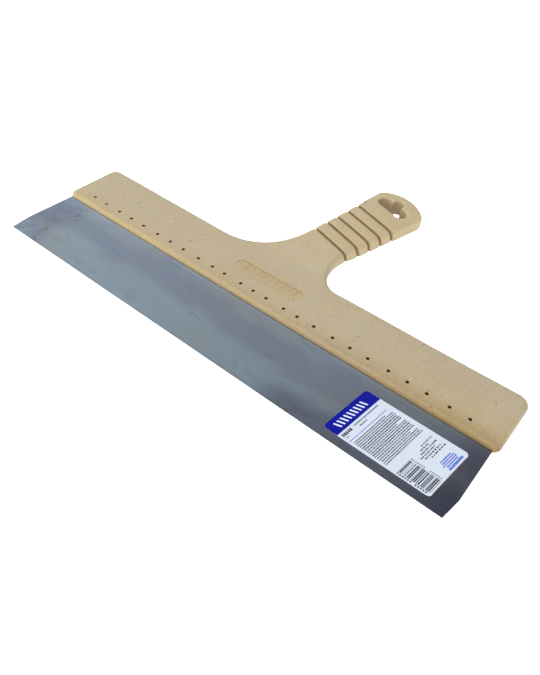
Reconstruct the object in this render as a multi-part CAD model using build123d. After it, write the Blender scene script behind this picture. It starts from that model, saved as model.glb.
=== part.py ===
"""Drywall taping knife: a steel blade held in a one-piece moulded handle.

Millimetres, +Z up. The origin is the centre of the handle bar's underside, which is
the face that the knife rests on. +X runs along the bar and +Y towards the grip.
Nodes: blade, handle, label.
"""

import math
import os

from build123d import *

# Handle bar
BAR_LENGTH = 457.0
BAR_DEPTH = 58.0
BAR_THICKNESS = 9.0
BAR_SPLAY_LEFT = 2.5
BAR_SPLAY_RIGHT = 3.8
BAR_END_SPLAY_LEFT = 1.3
BAR_END_SPLAY_RIGHT = 0.6
BAR_FRONT_CORNER = 6.5
BAR_BACK_CORNER_LEFT = 8.4
BAR_BACK_CORNER_RIGHT = 10.4
EDGE_ROUND = 4.0

# Blade: cold-rolled steel strip, moulded into the middle of the bar's thickness
BLADE_LENGTH = 450.0
BLADE_SHIFT = -0.4
BLADE_EXPOSED = 69.0
BLADE_TANG = 26.0
BLADE_THICKNESS = 0.6
BLADE_CORNER_LENGTH = 18.5
BLADE_CORNER_INSET = 2.6

# Holes in the tang that the handle's plastic flows through, so the blade can't pull out
LOCK_HOLE_RADIUS = 3.0
LOCK_HOLE_COUNT = 12
LOCK_HOLE_PITCH = 37.0
LOCK_HOLE_FROM_TANG_END = 8.0

# Holes left by the mould's support pins, on both faces, down to the tang
PIN_HOLE_RADIUS = 1.3
PIN_ROW_INSET = 11.0
PIN_ROW_SHIFT = -0.9
PIN_GAPS = [14.0, 18.6, 14.0, 16.8] + 2 * [18.6, 16.5, 16.5] + [18.6, 16.5]

# Grip: set at an angle to the bar, and its upper face rises from a bend beside the bar
GRIP_ANGLE = 16.8
GRIP_RISE = 8.06
GRIP_THICKNESS = 16.0
GRIP_START_X = -5.5
BEND_Y = 37.0
BEND_RADIUS = 130.0
GRIP_START_HALF_WIDTH = 21.1
GRIP_END_HALF_WIDTH = 27.1
GRIP_LEFT_LENGTH = 129.0
GRIP_RIGHT_LENGTH = 135.4
GRIP_END_POINT = (4.0, 143.0)
GRIP_END_CORNER = 6.2
NECK_LEFT_RADIUS = 59.0
NECK_RIGHT_ON_BAR = 39.0
NECK_RIGHT_ON_GRIP = 54.4

# Finger grooves round the grip
GROOVE_STATIONS = [46.4, 60.3, 73.2, 86.2, 99.3]
GROOVE_TILT = 0.15
GROOVE_DEPTH = 1.4
GROOVE_FLANK = 1.1
GROOVE_LIP_DEPTH = 0.45
GROOVE_REACH = 2.3
GROOVE_CLEAR = 0.5
GROOVE_CORNER = 3.0

# Hanging hole: three lobes above a straight edge
HOLE_ALONG = 121.0
HOLE_SHIFT = 0.0
HOLE_LOBE_RADIUS = 5.8
HOLE_LOBE_SPREAD = 11.3
HOLE_TOP_LOBE_RADIUS = 5.2
HOLE_TOP_LOBE_RISE = 7.2
HOLE_MOUTH_ROUND = 1.2

# Sunken panel on the bar, with plain slanted ribs
PANEL_WIDTH = 71.0
PANEL_HEIGHT = 16.6
PANEL_CENTRE = (-1.3, 0.2)
PANEL_SINK = 0.9
PANEL_CORNER = 6.0
PANEL_RIB_COUNT = 9
PANEL_RIB_PITCH = 6.6
PANEL_RIB_WIDTH = 2.6
PANEL_RIB_HEIGHT = 9.5
PANEL_RIB_SLANT = 3.0
PANEL_RIB_ROUND = 0.8
PANEL_RIB_LIFT = 0.6
PANEL_RIB_ROOT = 2.0

# Adhesive label on the blade's upper face
LABEL_WIDTH = 84.9
LABEL_HEIGHT = 48.4
LABEL_LEAN = 5.0
LABEL_THICKNESS = 0.1
LABEL_CORNER = 3.0
LABEL_CENTRE = (168.9, -66.4)

# Worked out from the sizes above
BAR_FRONT_Y = -BAR_DEPTH / 2
BAR_BACK_Y = BAR_DEPTH / 2
BLADE_MIDDLE_Z = BAR_THICKNESS / 2
BLADE_TOP_Z = BLADE_MIDDLE_Z + BLADE_THICKNESS / 2
RISE_SLOPE = math.tan(math.radians(GRIP_RISE))
GRIP_DROP = GRIP_THICKNESS / math.cos(math.radians(GRIP_RISE))
UNDER_BEND_Y = BEND_Y + (GRIP_DROP - BAR_THICKNESS) / RISE_SLOPE
GRIP_PLAN = Pos(GRIP_START_X, BEND_Y) * Rot(0, 0, -GRIP_ANGLE)


def top_z(y):
    """Height of the grip's upper face at y, beyond the bend."""
    return BAR_THICKNESS + (y - BEND_Y) * RISE_SLOPE


def grip_half_width(along):
    """Half the grip's width at a distance along it from the bend."""
    share = along / GRIP_LEFT_LENGTH
    return GRIP_START_HALF_WIDTH + share * (GRIP_END_HALF_WIDTH - GRIP_START_HALF_WIDTH)


def bar_outline():
    """The bar seen from above. It widens slightly towards each back corner."""
    half = BAR_LENGTH / 2
    outline = Polyline(
        (-half, BAR_FRONT_Y),
        (half, BAR_FRONT_Y),
        (half + BAR_END_SPLAY_RIGHT, BAR_BACK_Y + BAR_SPLAY_RIGHT),
        (0, BAR_BACK_Y),
        (-half - BAR_END_SPLAY_LEFT, BAR_BACK_Y + BAR_SPLAY_LEFT),
        close=True,
    )
    bar = make_face(outline)
    front = bar.vertices().sort_by(Axis.Y)[:2]
    bar = fillet(front, BAR_FRONT_CORNER)
    bar = fillet(bar.vertices().sort_by(Axis.X)[-1], BAR_BACK_CORNER_RIGHT)
    return fillet(bar.vertices().sort_by(Axis.X)[0], BAR_BACK_CORNER_LEFT)


def grip_outline():
    """The grip seen from above: two sides that spread slightly and a curved end."""
    root = -BAR_DEPTH / 2
    left_root = (-grip_half_width(root), root)
    right_root = (grip_half_width(root), root)
    left_end = (-GRIP_END_HALF_WIDTH, GRIP_LEFT_LENGTH)
    right_end = (grip_half_width(GRIP_RIGHT_LENGTH), GRIP_RIGHT_LENGTH)
    edge = Line(left_root, left_end)
    edge += ThreePointArc(left_end, GRIP_END_POINT, right_end)
    edge += Line(right_end, right_root)
    edge += Line(right_root, left_root)
    grip = make_face(edge)
    corners = grip.vertices().sort_by(Axis.Y)[-2:]
    return GRIP_PLAN * fillet(corners, GRIP_END_CORNER)


def handle_outline():
    """Bar and grip joined by a long round sweep on the left and a tighter one on the right."""
    outline = bar_outline() + grip_outline()
    grip_root = GRIP_START_HALF_WIDTH + GRIP_END_HALF_WIDTH
    near = [v for v in outline.vertices() if abs(v.X) < grip_root and abs(v.Y - BAR_BACK_Y) < 2]
    left, right = sorted(near, key=lambda v: v.X)
    return fillet(left, NECK_LEFT_RADIUS) + right_neck(Vector(right.X, right.Y))


def right_neck(corner):
    """The web in the corner right of the grip: it reaches further along the grip."""
    spread = math.atan2(GRIP_END_HALF_WIDTH - GRIP_START_HALF_WIDTH, GRIP_LEFT_LENGTH)
    angle = math.radians(GRIP_ANGLE) + spread
    up_grip = Vector(math.sin(angle), math.cos(angle))
    along_bar = Vector(BAR_LENGTH / 2 + BAR_END_SPLAY_RIGHT, BAR_SPLAY_RIGHT).normalized()
    on_bar = corner + along_bar * NECK_RIGHT_ON_BAR
    on_grip = corner + up_grip * NECK_RIGHT_ON_GRIP
    bar_pull = on_bar - along_bar * (NECK_RIGHT_ON_BAR / 2)
    grip_pull = on_grip - up_grip * (NECK_RIGHT_ON_GRIP / 2)
    edge = Bezier(on_bar, bar_pull, grip_pull, on_grip)
    inside = corner - along_bar * GRIP_START_HALF_WIDTH
    edge += Polyline(on_grip, inside, on_bar)
    return make_face(edge)


def side_profile():
    """The handle from the side: flat at the bar, then rising and thickening to the grip."""
    far_y = BEND_Y + GRIP_END_POINT[1] + GRIP_THICKNESS
    far_top = top_z(far_y)
    near_y = -BAR_DEPTH
    corners = [
        (near_y, 0),
        (near_y, BAR_THICKNESS),
        (BEND_Y, BAR_THICKNESS),
        (far_y, far_top),
        (far_y, far_top - GRIP_DROP),
        (UNDER_BEND_Y, 0),
    ]
    profile = make_face(Polyline(*corners, close=True))
    bends = [v for v in profile.vertices() if 0 < v.X < far_y - 1]
    profile = fillet(bends, BEND_RADIUS)
    return Plane.YZ * profile


def perimeter_edges(solid):
    """The edges where the upper and lower faces meet the upright walls."""
    walls = [f for f in solid.faces() if abs(f.normal_at().Z) < 0.01]
    caps = [f for f in solid.faces() if abs(f.normal_at().Z) > 0.5]
    wall_edges = {e for f in walls for e in f.edges()}
    return ShapeList(e for f in caps for e in f.edges() if e in wall_edges)


def handle_blank():
    """The handle's outer shape, before its holes, grooves and panel."""
    plan = Pos(0, 0, -5) * extrude(handle_outline(), 60)
    side = extrude(side_profile(), BAR_LENGTH, both=True)
    solid = plan & side
    return fillet(perimeter_edges(solid), EDGE_ROUND)


def grip_frame(along):
    """A plane across the grip, leaning back a little, at a distance along its upper face."""
    angle = math.radians(GRIP_ANGLE)
    level = Vector(math.sin(angle), math.cos(angle), 0)
    direction = Vector(level.X, level.Y, level.Y * RISE_SLOPE).normalized()
    normal = Vector(0, -math.sin(math.radians(GRIP_RISE)), math.cos(math.radians(GRIP_RISE)))
    start = Vector(GRIP_START_X, BEND_Y, BAR_THICKNESS)
    centre = start + direction * along - normal * (GRIP_THICKNESS / 2)
    axis = (direction + normal * GROOVE_TILT).normalized()
    return Plane(origin=centre, x_dir=direction.cross(normal), z_dir=axis)


def groove_section(half_width, inset):
    """The grip's section, made smaller by an inset."""
    width = 2 * (half_width - inset)
    height = GRIP_THICKNESS - 2 * inset
    return RectangleRounded(width, height, GROOVE_CORNER - min(inset, 0))


def groove_cutter(along):
    """A ring round the grip with a soft V section, deepest at its middle."""
    half_width = grip_half_width(along)
    rings = [
        (-GROOVE_REACH, -GROOVE_CLEAR),
        (-GROOVE_FLANK, GROOVE_LIP_DEPTH),
        (0.0, GROOVE_DEPTH),
        (GROOVE_FLANK, GROOVE_LIP_DEPTH),
        (GROOVE_REACH, -GROOVE_CLEAR),
    ]
    blank = Pos(0, 0, -GROOVE_REACH) * extrude(
        Rectangle(2 * half_width + 12, GRIP_THICKNESS + 12), 2 * GROOVE_REACH
    )
    sections = [Pos(0, 0, place) * groove_section(half_width, inset) for place, inset in rings]
    for lower, upper in zip(sections, sections[1:]):
        blank -= loft([lower, upper], ruled=True)
    return grip_frame(along) * blank


def hanging_hole():
    """The three-lobed hole through the grip's end, straight along its near side."""
    lobes = Pos(0, HOLE_TOP_LOBE_RISE) * Circle(HOLE_TOP_LOBE_RADIUS)
    for side in (-1, 1):
        lobes += Pos(side * HOLE_LOBE_SPREAD, 0) * Circle(HOLE_LOBE_RADIUS)
    lobes += Rectangle(2 * HOLE_LOBE_SPREAD, 2 * HOLE_LOBE_RADIUS)
    lobes = GRIP_PLAN * Pos(HOLE_SHIFT, HOLE_ALONG) * lobes
    return extrude(lobes, 2 * GRIP_THICKNESS, both=True)


def pin_positions():
    """X of each support pin hole: one in the middle, and the same gaps to each side."""
    places = [0.0]
    for gap in PIN_GAPS:
        places.append(places[-1] + gap)
    mirrored = [-x for x in places[1:]]
    return [x + PIN_ROW_SHIFT for x in mirrored + places]


def pin_holes():
    """The support pin holes, from both faces down to the tang."""
    y = BAR_FRONT_Y + PIN_ROW_INSET
    spots = [Pos(x, y) for x in pin_positions()]
    depth = BAR_THICKNESS
    return [spot * Pos(0, 0, depth / 2) * Cylinder(PIN_HOLE_RADIUS, depth) for spot in spots]


def panel_cutter():
    """A wedge that sinks most at the panel's back edge and fades out at its front."""
    tilt = math.degrees(math.atan2(PANEL_SINK, PANEL_HEIGHT))
    column = extrude(RectangleRounded(PANEL_WIDTH, PANEL_HEIGHT, PANEL_CORNER), 3, both=True)
    floor = Pos(0, -PANEL_HEIGHT / 2) * Rot(-tilt, 0, 0)
    above = floor * Pos(0, 0, 10) * Box(2 * PANEL_WIDTH, 4 * PANEL_HEIGHT, 20)
    wedge = column & above
    return Pos(*PANEL_CENTRE, BAR_THICKNESS) * wedge


def panel_ribs():
    """Slanted ribs across the panel, level with the bar's upper face."""
    rib = Polyline(
        (-PANEL_RIB_WIDTH / 2 - PANEL_RIB_SLANT / 2, -PANEL_RIB_HEIGHT / 2),
        (PANEL_RIB_WIDTH / 2 - PANEL_RIB_SLANT / 2, -PANEL_RIB_HEIGHT / 2),
        (PANEL_RIB_WIDTH / 2 + PANEL_RIB_SLANT / 2, PANEL_RIB_HEIGHT / 2),
        (-PANEL_RIB_WIDTH / 2 + PANEL_RIB_SLANT / 2, PANEL_RIB_HEIGHT / 2),
        close=True,
    )
    rib = make_face(rib)
    rib = fillet(rib.vertices(), PANEL_RIB_ROUND)
    solid = extrude(rib, PANEL_RIB_ROOT)
    first = -(PANEL_RIB_COUNT - 1) / 2 * PANEL_RIB_PITCH
    places = [first + i * PANEL_RIB_PITCH for i in range(PANEL_RIB_COUNT)]
    centre = Pos(*PANEL_CENTRE, BAR_THICKNESS - PANEL_RIB_ROOT)
    return [centre * Pos(x, PANEL_RIB_LIFT) * solid for x in places]


def blade():
    """The blade strip, with its tapered working corners and the tang's lock holes."""
    half = BLADE_LENGTH / 2
    tang_y = BAR_FRONT_Y + BLADE_TANG
    working_y = BAR_FRONT_Y - BLADE_EXPOSED
    outline = Polyline(
        (-half, tang_y),
        (half, tang_y),
        (half, working_y + BLADE_CORNER_LENGTH),
        (half - BLADE_CORNER_INSET, working_y),
        (-half + BLADE_CORNER_INSET, working_y),
        (-half, working_y + BLADE_CORNER_LENGTH),
        close=True,
    )
    plate = make_face(outline)
    first = -(LOCK_HOLE_COUNT - 1) / 2 * LOCK_HOLE_PITCH
    for i in range(LOCK_HOLE_COUNT):
        x = first + i * LOCK_HOLE_PITCH
        plate -= Pos(x, tang_y - LOCK_HOLE_FROM_TANG_END) * Circle(LOCK_HOLE_RADIUS)
    bottom_z = BLADE_MIDDLE_Z - BLADE_THICKNESS / 2
    return Pos(BLADE_SHIFT, 0, bottom_z) * extrude(plate, BLADE_THICKNESS)


def handle(steel):
    """The moulded handle round the blade's tang."""
    solid = handle_blank()
    solid -= panel_cutter()
    for rib in panel_ribs():
        solid += rib
    for along in GROOVE_STATIONS:
        solid -= groove_cutter(along)
    solid -= hanging_hole()
    mouth = [e for e in solid.edges() if is_hole_mouth(e)]
    solid = fillet(mouth, HOLE_MOUTH_ROUND)
    solid -= pin_holes()
    return solid - steel


def is_hole_mouth(edge):
    """Whether an edge lies on the hanging hole's rim, on the upper or the lower face."""
    centre = GRIP_PLAN * Pos(HOLE_SHIFT, HOLE_ALONG)
    middle = (centre.inverse() * Pos(*edge.position_at(0.5))).position
    near_across = abs(middle.X) < HOLE_LOBE_SPREAD + HOLE_LOBE_RADIUS + 1
    near_along = abs(middle.Y) < HOLE_TOP_LOBE_RISE + HOLE_TOP_LOBE_RADIUS + 1
    upright = abs(edge.tangent_at(0.5).Z) > 0.9
    return near_across and near_along and not upright


def label():
    """The adhesive label on the blade. Its ends lean slightly towards the blade's end."""
    half_x, half_y, lean = LABEL_WIDTH / 2, LABEL_HEIGHT / 2, LABEL_LEAN / 2
    corners = [
        (-half_x - lean, -half_y),
        (half_x - lean, -half_y),
        (half_x + lean, half_y),
        (-half_x + lean, half_y),
    ]
    sheet = make_face(Polyline(*corners, close=True))
    sheet = fillet(sheet.vertices(), LABEL_CORNER)
    return Pos(*LABEL_CENTRE, BLADE_TOP_Z) * extrude(sheet, LABEL_THICKNESS)


def main():
    """Writes one STEP file for each node."""
    os.makedirs("parts", exist_ok=True)
    steel = blade()
    nodes = {"blade": steel, "handle": handle(steel), "label": label()}
    for name, shape in nodes.items():
        export_step(shape, f"parts/{name}.step")


if __name__ == "__main__":
    main()
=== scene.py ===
"""The looks of the drywall taping knife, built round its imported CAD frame. Metres, +Z up.

Shapes are worked out in millimetres, in the CAD's frame, and scaled at the end. The handle's
and the label's sizes repeat the CAD's. The blade's size and the places of the blade and the
label come from the frame.
"""

import math

import bmesh
import bpy
import numpy as np
from mathutils import Euler, Matrix, Vector
from mathutils.geometry import delaunay_2d_cdt


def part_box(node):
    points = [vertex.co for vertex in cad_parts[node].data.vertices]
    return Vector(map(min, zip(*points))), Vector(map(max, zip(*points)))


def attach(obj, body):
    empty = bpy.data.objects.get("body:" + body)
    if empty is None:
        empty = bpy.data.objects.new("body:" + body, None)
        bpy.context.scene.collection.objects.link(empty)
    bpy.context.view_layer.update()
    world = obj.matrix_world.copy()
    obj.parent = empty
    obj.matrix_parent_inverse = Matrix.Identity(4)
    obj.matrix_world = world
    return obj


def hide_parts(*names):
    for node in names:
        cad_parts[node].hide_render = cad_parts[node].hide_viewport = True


MM = 0.001

# The handle's sizes in millimetres. Left is under -1 and right is under 1.
BAR_LENGTH = 457.0
BAR_DEPTH = 58.0
BAR_THICKNESS = 9.0
BAR_SPLAY = {-1: 2.5, 1: 3.8}
BAR_END_SPLAY = {-1: 1.3, 1: 0.6}
BAR_FRONT_CORNER = 6.5
BAR_BACK_CORNER = {-1: 8.4, 1: 10.4}
GRIP_ANGLE = math.radians(16.8)
GRIP_RISE = math.radians(8.06)
GRIP_THICKNESS = 16.0
GRIP_START = (-5.5, 37.0)
BEND_RADIUS = 130.0
GRIP_START_HALF_WIDTH = 21.1
GRIP_END_HALF_WIDTH = 27.1
GRIP_LEFT_LENGTH = 129.0
GRIP_RIGHT_LENGTH = 135.4
GRIP_END_POINT = (4.0, 143.0)
GRIP_END_CORNER = 6.2
NECK_LEFT_RADIUS = 59.0
NECK_RIGHT_ON_BAR = 39.0
NECK_RIGHT_ON_GRIP = 54.4
GROOVE_STATIONS = [46.4, 60.3, 73.2, 86.2, 99.3]
GROOVE_TILT = 0.15
HOLE_ALONG = 121.0
HOLE_LOBE_RADIUS = 5.8
HOLE_LOBE_SPREAD = 11.3
HOLE_TOP_LOBE_RADIUS = 5.2
HOLE_TOP_LOBE_RISE = 7.2
PIN_HOLE_RADIUS = 1.3
PIN_ROW_Y = -18.0
PIN_ROW_SHIFT = -0.9
PIN_GAPS = [14.0, 18.6, 14.0, 16.8] + 2 * [18.6, 16.5, 16.5] + [18.6, 16.5]
PANEL_WIDTH = 71.0
PANEL_HEIGHT = 16.6
PANEL_CENTRE = (-1.3, 0.2)
PANEL_SINK = 0.9
PANEL_CORNER = 6.0
RIB_COUNT = 9
RIB_PITCH = 6.6
RIB_WIDTH = 2.6
RIB_HEIGHT = 9.5
RIB_SLANT = 3.0
RIB_LIFT = 0.6
RIB_CORNER = 0.8

# The handle's soft surface: its edges, its crown, the grip's grooves and the hole's rim
EDGE_ROUND = 4.0
GRIP_EDGE_MORE = 1.0
END_EDGE_LESS = 1.3
GRIP_BLEND = (12, 48)
GRIP_END_BLEND = (100, 108)
UNDER_BLEND = (30, 60)
CROWN_REACH = 140
CROWN_POWER = 2.4
CROWN_ABOVE = 0.55
CROWN_BELOW = 0.45
END_DIP = 0.25
END_DIP_REACH = 16
GROOVED_X = (-40, 80)
GROOVED_FROM_Y = 60
GROOVE_CUT = 1.9
GROOVE_HALF = 1.15
GROOVE_SHOULDER_CUT = 0.12
GROOVE_SHOULDER_HALF = 2.8
HOLE_BLEND = 1.2
HOLE_WAIST_CORNER = 0.2
HOLE_RIM_ROUND = 1.5

# Each ring of a pin hole: its radius as a share of the hole's, its depth and its painted shade.
# The level surface is cleared within PIN_CLEARING times the radius before the rings go in.
PIN_RINGS = ((1.2, 0.0, 0.3), (1.06, 0.07, 1.9), (1.0, 0.3, 2.5), (0.97, 4.0, 2.5))
PIN_CLEARING = 1.9
LEVEL_WITHIN = 0.02
# Painted shade in the pin holes, near black, and paler in the two leftmost, where more of the lit
# inner wall shows
PIN_PAINTED_SHADE = 2.3
LEFTMOST_PIN_SHADE = 1.0
LEFTMOST_PIN_COUNT = 2

# Grid lines for the handle's surface: the end of each stretch and its spacing
GRID_X = [(-231, 1), (-222, 0.6), (-46, 0.9), (76, 0.45), (222, 0.9), (229.5, 0.6)]
GRID_Y = [(-30, 1), (-23, 0.5), (-9, 0.8), (7.3, 0.45), (9.5, 0.2), (56, 0.65), (176, 0.45)]
GRID_Z = [(-1.1, 1), (29.4, 0.5)]

# The blade's and the label's details in millimetres
BLADE_CORNER_LENGTH = 18.5
BLADE_CORNER_INSET = 2.6
BLADE_SHOULDER_ROUND = 3.0
BLADE_TIP_ROUND = 0.5
BLADE_BACK_ROUND = 0.6
BLADE_EDGE = 0.1
LOCK_HOLE_RADIUS = 3.0
LOCK_HOLE_COUNT = 12
LOCK_HOLE_PITCH = 37.0
LOCK_HOLE_INSET = 8.0
LABEL_WIDTH = 84.9
LABEL_HEIGHT = 48.4
LABEL_LEAN = 5.0
LABEL_CORNER = 3.0
LABEL_EDGE = 0.02
LABEL_BAND_WIDTH = 12.6
PRINT_LIFT = 0.02
SHARP_ANGLE = math.radians(18)

# Scale, stretch, offset, size, rarity, strength and colour of each kind of fibre
FIBRES = [
    (620, (1.0, 0.5, 0.8), (0.2, 0.1, 0.0), (0.10, 0.36), 0.62, 0.5, (0.155, 0.105, 0.060)),
    (480, (0.45, 1.0, 0.8), (0.7, 0.4, 0.2), (0.10, 0.34), 0.66, 0.5, (0.185, 0.125, 0.065)),
    (560, (0.8, 0.8, 0.8), (0.3, 0.9, 0.5), (0.12, 0.36), 0.60, 0.5, (0.41, 0.37, 0.29)),
    (230, (1.0, 0.6, 0.9), (0.5, 0.2, 0.8), (0.07, 0.22), 0.84, 0.95, (0.080, 0.048, 0.028)),
    (170, (0.9, 0.8, 0.9), (0.1, 0.6, 0.3), (0.06, 0.30), 0.84, 0.45, (0.29, 0.175, 0.075)),
]

# The floor, the light and the camera. Places are in metres and the lens is in millimetres.
# Each sun has its name, where it shines from, its strength and its width. Angles are in degrees.
FLOOR_HALF = 6.0
FLOOR_GAP = 0.0002
SKY_AXIS = (-0.80, 0.30, 0.45)
SKY_STOPS = [(0.0, 0.45), (0.42, 0.45), (0.56, 0.12), (0.71, 0.70), (0.84, 0.80), (1.0, 1.10)]
SUNS = [("key", (-0.35, -0.80, 0.55), 2.5, 80), ("top", (-0.05, 0.1, 1.0), 1.55, 140),
        ("fill", (0.75, -0.40, 0.28), 2.0, 100)]
SOFTBOX_PLACE = (-0.75, -0.75, 0.15)
SOFTBOX_SIZE = 0.5
SOFTBOX_POWER = 6.5
LENS = 33.07
SENSOR_WIDTH = 36
CAMERA_PLACE = (0.24275, -0.33091, 0.35110)
CAMERA_TURN = (44.9057, -3.7926, 39.1399)


# ---------------------------------------------------------------- helpers


def add_object(name, data):
    """A new object in the scene."""
    thing = bpy.data.objects.new(name, data)
    bpy.context.scene.collection.objects.link(thing)
    return thing


def box_mm(node):
    """A CAD node's lowest and highest corners in millimetres, to the micron."""
    return [np.round(np.array(corner) / MM, 3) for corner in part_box(node)]


def bell(value, half):
    """A soft peak at nought, one high."""
    return np.exp(-((value / half) ** 2))


def new_material(name):
    """An empty node material, with its shader and its output."""
    material = bpy.data.materials.new(name)
    material.use_nodes = True
    tree = material.node_tree
    tree.nodes.clear()
    out = tree.nodes.new("ShaderNodeOutputMaterial")
    shader = tree.nodes.new("ShaderNodeBsdfPrincipled")
    tree.links.new(shader.outputs[0], out.inputs[0])
    return material, tree, shader


def put(tree, socket, value):
    """Sets a socket to a value, or links it to another node's output."""
    if isinstance(value, bpy.types.NodeSocket):
        tree.links.new(value, socket)
    else:
        socket.default_value = value


def place(tree, scale=(1, 1, 1), offset=(0, 0, 0)):
    """Object coordinates in metres, stretched and moved."""
    coords = tree.nodes.new("ShaderNodeTexCoord")
    mapping = tree.nodes.new("ShaderNodeMapping")
    mapping.inputs["Scale"].default_value = scale
    mapping.inputs["Location"].default_value = offset
    tree.links.new(coords.outputs["Object"], mapping.inputs[0])
    return mapping.outputs[0]


def noise(tree, vector, scale, detail=2.0, rough=0.5, warp=0.0):
    node = tree.nodes.new("ShaderNodeTexNoise")
    put(tree, node.inputs["Vector"], vector)
    node.inputs["Scale"].default_value = scale
    node.inputs["Detail"].default_value = detail
    node.inputs["Roughness"].default_value = rough
    node.inputs["Distortion"].default_value = warp
    return node.outputs["Fac"]


def cells(tree, vector, scale):
    node = tree.nodes.new("ShaderNodeTexVoronoi")
    put(tree, node.inputs["Vector"], vector)
    node.inputs["Scale"].default_value = scale
    return node


def ramp(tree, fac, stops, smooth=False):
    """A colour ramp. Each stop is a place and a grey or a colour."""
    node = tree.nodes.new("ShaderNodeValToRGB")
    put(tree, node.inputs[0], fac)
    band = node.color_ramp
    band.interpolation = "EASE" if smooth else "LINEAR"
    while len(band.elements) < len(stops):
        band.elements.new(0.5)
    for element, (where, colour) in zip(band.elements, stops):
        element.position = where
        element.color = (colour,) * 3 + (1,) if isinstance(colour, float) else (*colour, 1)
    return node.outputs[0]


def mix(tree, fac, a, b, how="MIX"):
    node = tree.nodes.new("ShaderNodeMix")
    node.data_type = "RGBA"
    node.blend_type = how
    put(tree, node.inputs[0], fac)
    for socket, value in ((node.inputs[6], a), (node.inputs[7], b)):
        put(tree, socket, (*value, 1) if isinstance(value, tuple) else value)
    return node.outputs[2]


def multiplied(tree, colour, factor):
    return mix(tree, 1.0, colour, factor, "MULTIPLY")


def tinted(tree, share, colour, factor):
    """The colour, multiplied by a factor where the share is one and left alone where it is nought."""
    return mix(tree, share, colour, multiplied(tree, colour, factor))


def math_node(tree, how, a, b=0.0, clamp=False):
    node = tree.nodes.new("ShaderNodeMath")
    node.operation = how
    node.use_clamp = clamp
    put(tree, node.inputs[0], a)
    put(tree, node.inputs[1], b)
    return node.outputs[0]


def times(tree, a, b, clamp=False):
    return math_node(tree, "MULTIPLY", a, b, clamp)


def plus(tree, a, b, clamp=False):
    return math_node(tree, "ADD", a, b, clamp)


def minus(tree, a, b):
    return math_node(tree, "SUBTRACT", a, b)


def zone(tree, distance, stops, reach=0.1):
    """A smooth ramp over a distance, where a stop at one is reached at the reach in metres."""
    return ramp(tree, times(tree, distance, 1 / reach), stops, True)


def xyz(tree, vector):
    """The three parts of a vector."""
    node = tree.nodes.new("ShaderNodeSeparateXYZ")
    tree.links.new(vector, node.inputs[0])
    return node.outputs


def normal_z(tree):
    """How far the surface faces up."""
    return xyz(tree, tree.nodes.new("ShaderNodeNewGeometry").outputs["Normal"])[2]


def attribute(tree, name):
    """A value that each of the mesh's vertices carries."""
    node = tree.nodes.new("ShaderNodeAttribute")
    node.attribute_name = name
    return node.outputs["Fac"]


def bump(tree, height, strength, distance, base=None):
    node = tree.nodes.new("ShaderNodeBump")
    node.inputs["Strength"].default_value = strength
    node.inputs["Distance"].default_value = distance
    put(tree, node.inputs["Height"], height)
    if base is not None:
        put(tree, node.inputs["Normal"], base)
    return node.outputs[0]


# ---------------------------------------------------------------- the handle's outline


def fillet_corner(before, corner, after, radius, count):
    """Points of the round that replaces a straight corner."""
    corner = np.array(corner, float)
    to_before = np.array(before, float) - corner
    to_after = np.array(after, float) - corner
    to_before /= np.linalg.norm(to_before)
    to_after /= np.linalg.norm(to_after)
    half = math.acos(np.clip(to_before @ to_after, -1, 1)) / 2
    middle = to_before + to_after
    middle /= np.linalg.norm(middle)
    centre = corner + middle * radius / math.sin(half)
    return arc_between(
        centre,
        corner + to_before * radius / math.tan(half),
        corner + to_after * radius / math.tan(half),
        count,
    )


def arc_between(centre, start, end, count):
    """Points on the shorter arc round a centre."""
    a = math.atan2(start[1] - centre[1], start[0] - centre[0])
    b = math.atan2(end[1] - centre[1], end[0] - centre[0])
    turn = (b - a + math.pi) % (2 * math.pi) - math.pi
    radius = math.dist(centre, start)
    angles = a + turn * np.linspace(0, 1, count)
    return [(centre[0] + radius * math.cos(t), centre[1] + radius * math.sin(t)) for t in angles]


def circle_through(a, b, c):
    """Centre and radius of the circle through three points."""
    matrix = 2 * np.array([[b[0] - a[0], b[1] - a[1]], [c[0] - a[0], c[1] - a[1]]])
    right = np.array([b[0] ** 2 - a[0] ** 2 + b[1] ** 2 - a[1] ** 2,
                      c[0] ** 2 - a[0] ** 2 + c[1] ** 2 - a[1] ** 2])
    centre = np.linalg.solve(matrix, right)
    return centre, math.dist(centre, a)


def grip_half_width(along):
    share = along / GRIP_LEFT_LENGTH
    return GRIP_START_HALF_WIDTH + share * (GRIP_END_HALF_WIDTH - GRIP_START_HALF_WIDTH)


def from_grip(across, along):
    """Plan position of a point given across and along the grip."""
    c, s = math.cos(GRIP_ANGLE), math.sin(GRIP_ANGLE)
    return (GRIP_START[0] + c * across + s * along, GRIP_START[1] - s * across + c * along)


def to_grip(x, y):
    """How far a plan position is across and along the grip."""
    c, s = math.cos(GRIP_ANGLE), math.sin(GRIP_ANGLE)
    dx, dy = x - GRIP_START[0], y - GRIP_START[1]
    return c * dx - s * dy, s * dx + c * dy


def end_round(side, circle_centre, circle_radius):
    """The small round between one side of the grip and its curved end, in grip terms."""
    slope = (GRIP_END_HALF_WIDTH - GRIP_START_HALF_WIDTH) / GRIP_LEFT_LENGTH
    direction = np.array([side * slope, 1.0]) / math.hypot(slope, 1)
    inward = np.array([-side, slope]) / math.hypot(slope, 1)
    start = np.array([side * GRIP_START_HALF_WIDTH, 0.0]) + inward * GRIP_END_CORNER
    gap = start - circle_centre
    reach = circle_radius - GRIP_END_CORNER
    b = gap @ direction
    travel = -b + math.sqrt(b * b - gap @ gap + reach**2)
    centre = start + direction * travel
    on_side = centre - inward * GRIP_END_CORNER
    outward = (centre - circle_centre) / np.linalg.norm(centre - circle_centre)
    on_end = circle_centre + outward * circle_radius
    return centre, on_side, on_end


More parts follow.
